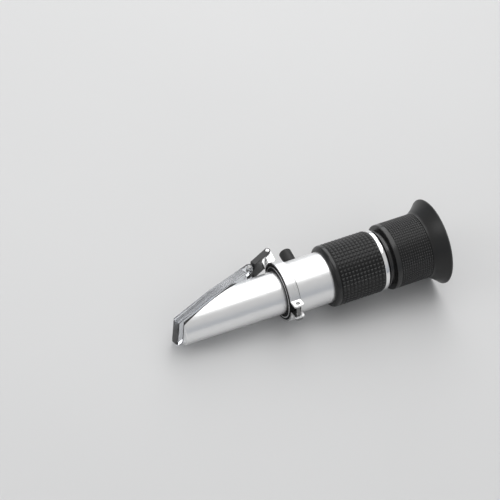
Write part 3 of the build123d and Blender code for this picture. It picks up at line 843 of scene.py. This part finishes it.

# %% [markdown]
# ## Rubbers and black parts
#
# Black rubber isn't one black. Its floor between the studs keeps dust, and its colour is painted
# much darker as painted shade, where little light reaches. The crowns are rubbed smooth by hands,
# so they are glossier, and their colour is lighter, partly from wear and partly as a painted
# highlight.
# The distance from the barrel's axis says which is which. Black plastics and painted metal have
# a finer, harder grain.

# %% Studded finishes
def paint_studs(name, level, floor_radius, crown_radius, lip_from, lip_to, roughness):
    """Rubber or plastic with studs, painted shade on the floor between them and a painted highlight
    on their crowns, and a smooth lip between two stations.
    """
    paint = Paint(name, Specular_IOR_Level=0.45)
    height = paint.fade(paint.off_axis(), floor_radius + 0.05, crown_radius)
    place = paint.along_axis()
    behind_start = paint.fade(place, lip_from, lip_from + 0.05)
    lip = behind_start * (1 - paint.fade(place, lip_to - 0.05, lip_to))
    grain = paint.noise(6.0, 3.0)
    cloud = paint.noise(0.15, 3.0)
    dust = paint.fade(paint.noise(1.6, 4.0), 0.60, 0.75) * (1 - height) * (1 - lip)
    # painted shade and highlight: the floor between the studs is painted far darker and the crowns
    # lighter, mixed with a slow random cloud
    painted_shading_and_cloud = height * 0.80 + cloud * 0.20
    black = paint.mix(painted_shading_and_cloud, grey(level * 0.2), grey(level * 1.6))
    paint.set(
        Base_Color=paint.mix(dust * 0.5, black, grey(level * 3.0, 0.04)),
        Roughness=grain * 0.14 + dust * 0.2 + (roughness - 0.05) - height * 0.06 - lip * 0.10,
        Normal=paint.bump(grain * (1 - lip * 0.7), 0.010),
    )
    return paint


grip_paint = paint_studs(
    "studded_grip_rubber", 0.010, grip_floor, grip_radius, grip_front - 1, lip_rear, 0.36
)
focus_paint = paint_studs(
    "knurled_black_ring", 0.014, knurl_floor, focus_radius, focus_front - 1, knurl_front - 0.2, 0.38
)

# %% Plain dark finishes
def paint_dark(name, level, roughness, grain_per_mm, depth, specular):
    """A dark finish with a grain, and slow changes in its blackness."""
    spread = 0.3
    paint = Paint(name, Specular_IOR_Level=specular)
    grain = paint.noise(grain_per_mm, 3.0)
    cloud = paint.noise(0.15, 3.0)
    paint.set(
        Base_Color=paint.mix(cloud, grey(level * (1 - spread)), grey(level * (1 + spread))),
        Roughness=grain * 0.12 + cloud * 0.06 + (roughness - 0.09),
        Normal=paint.bump(grain, depth),
    )
    return paint


def paint_eyecup():
    """Smooth rubber, with a painted highlight: its colour is lighter along the thin edge of the
    rim.
    """
    paint = Paint("smooth_eyecup_rubber", Specular_IOR_Level=0.42)
    grain = paint.noise(5.0, 3.0)
    cloud = paint.noise(0.12, 3.0)
    # painted highlight: the colour turns lighter along the rolled edge of the rim
    painted_rim_highlight = paint.fade(paint.off_axis(), cup_radius - 0.45, cup_radius - 0.10)
    black = paint.mix(cloud, grey(0.006), grey(0.012))
    paint.set(
        Base_Color=paint.mix(painted_rim_highlight * 0.8, black, grey(0.085)),
        Roughness=grain * 0.10 + cloud * 0.08 + 0.27,
        Normal=paint.bump(grain, 0.004),
    )
    return paint


eyecup_paint = paint_eyecup()
seal_paint = paint_dark("seal_rubber", 0.006, 0.60, 6.0, 0.006, 0.20)
cap_paint = paint_dark("cap_rubber", 0.026, 0.55, 6.0, 0.008, 0.35)
arm_paint = paint_dark("painted_arm", 0.018, 0.36, 9.0, 0.003, 0.40)
neck_paint = paint_dark("gloss_black_neck", 0.005, 0.22, 2.0, 0.0008, 0.85)
cell_paint = paint_dark("matt_black_anodising", 0.010, 0.60, 9.0, 0.003, 0.40)
frame_paint = paint_dark("prism_frame_black", 0.012, 0.50, 7.0, 0.004, 0.40)

# %% [markdown]
# ## Clear parts
#
# The daylight plate is cut from acrylic sheet. Its broad faces are as the sheet came, polished
# and clear, and its narrow sides are sawn and then polished a little, with fine streaks along
# their length. The direction of the surface tells the two apart: only the broad faces look
# along the cut's normal.

# %% Clear finishes
def paint_acrylic():
    paint = Paint("clear_acrylic", IOR=1.49, Transmission_Weight=1.0)
    facing = paint.node("ShaderNodeTexCoord", output="Normal")
    along_normal = paint.node(
        "ShaderNodeVectorMath", {"operation": "DOT_PRODUCT"}, {0: facing, 1: cut_normal}, "Value"
    ).math("ABSOLUTE")
    broad = paint.fade(along_normal, 0.80, 0.95)
    streaks = paint.noise(1.0, 1.0, (0.01, 0.8, 0.8), -cut_angle)
    sawn = paint.fade(streaks, 0.42, 0.60) * (1 - broad)
    paint.set(
        Base_Color=paint.mix(sawn, (0.84, 0.86, 0.89, 1), (0.62, 0.64, 0.68, 1)),
        Roughness=(1 - broad) * 0.05 + 0.02,
    )
    return paint


def paint_glass(name, colour, ior, roughness):
    """Polished glass with the faintest dust."""
    paint = Paint(name, IOR=ior, Transmission_Weight=1.0)
    dust = paint.fade(paint.noise(2.0, 4.0), 0.66, 0.75)
    paint.set(
        Base_Color=paint.mix(dust * 0.3, (*colour, 1), grey(0.8)),
        Roughness=dust * 0.2 + roughness,
    )
    return paint


acrylic_paint = paint_acrylic()
prism_paint = paint_glass("blue_prism_glass", (0.55, 0.70, 0.90), 1.62, 0.02)
lens_paint = paint_glass("coated_lens_glass", (0.90, 0.96, 0.98), 1.52, 0.01)

# %% [markdown]
# ## Dressing the pieces
#
# Pieces of the frame that keep their CAD mesh get their finish by name, and the new pieces get
# theirs beside them, so that one table shows what everything is made of.

# %% Finishes of all the pieces
finishes = {
    barrel_paint: ["barrel_tube"],
    housing_paint: ["prism_housing"],
    prism_paint: ["prism"],
    seal_paint: ["front_seal"],
    screw_paint: ["plate_pin", "circlip"],
    brass_paint: ["calibration_bush", "calibration_screw"],
    cell_paint: [
        "objective_cell", "objective_retainer", "scale_holder", "ocular_tube",
        "field_lens_ring", "eye_lens_ring",
    ],
    lens_paint: ["objective_lens", "scale_disc", "field_lens", "eye_lens"],
    cap_paint: ["screw_cap"],
}
for paint, names in finishes.items():
    for name in names:
        dress(nodes[name], paint)

new_finishes = {
    rubber_sleeve: grip_paint,
    knurled_ring: focus_paint,
    flared_cup: eyecup_paint,
    bright_ring: chrome_paint,
    black_neck: neck_paint,
    liner_strip: seal_paint,
    clear_plate: acrylic_paint,
    dark_arm: arm_paint,
    split_band: band_paint,
    prism_rim: frame_paint,
    tab_screw: screw_paint,
    riveted_pin: pin_paint,
}
for piece, paint in new_finishes.items():
    dress(piece, paint)
carried = sum(map(len, finishes.values()))
print(carried, "carried pieces and", len(new_finishes), "new ones are dressed")
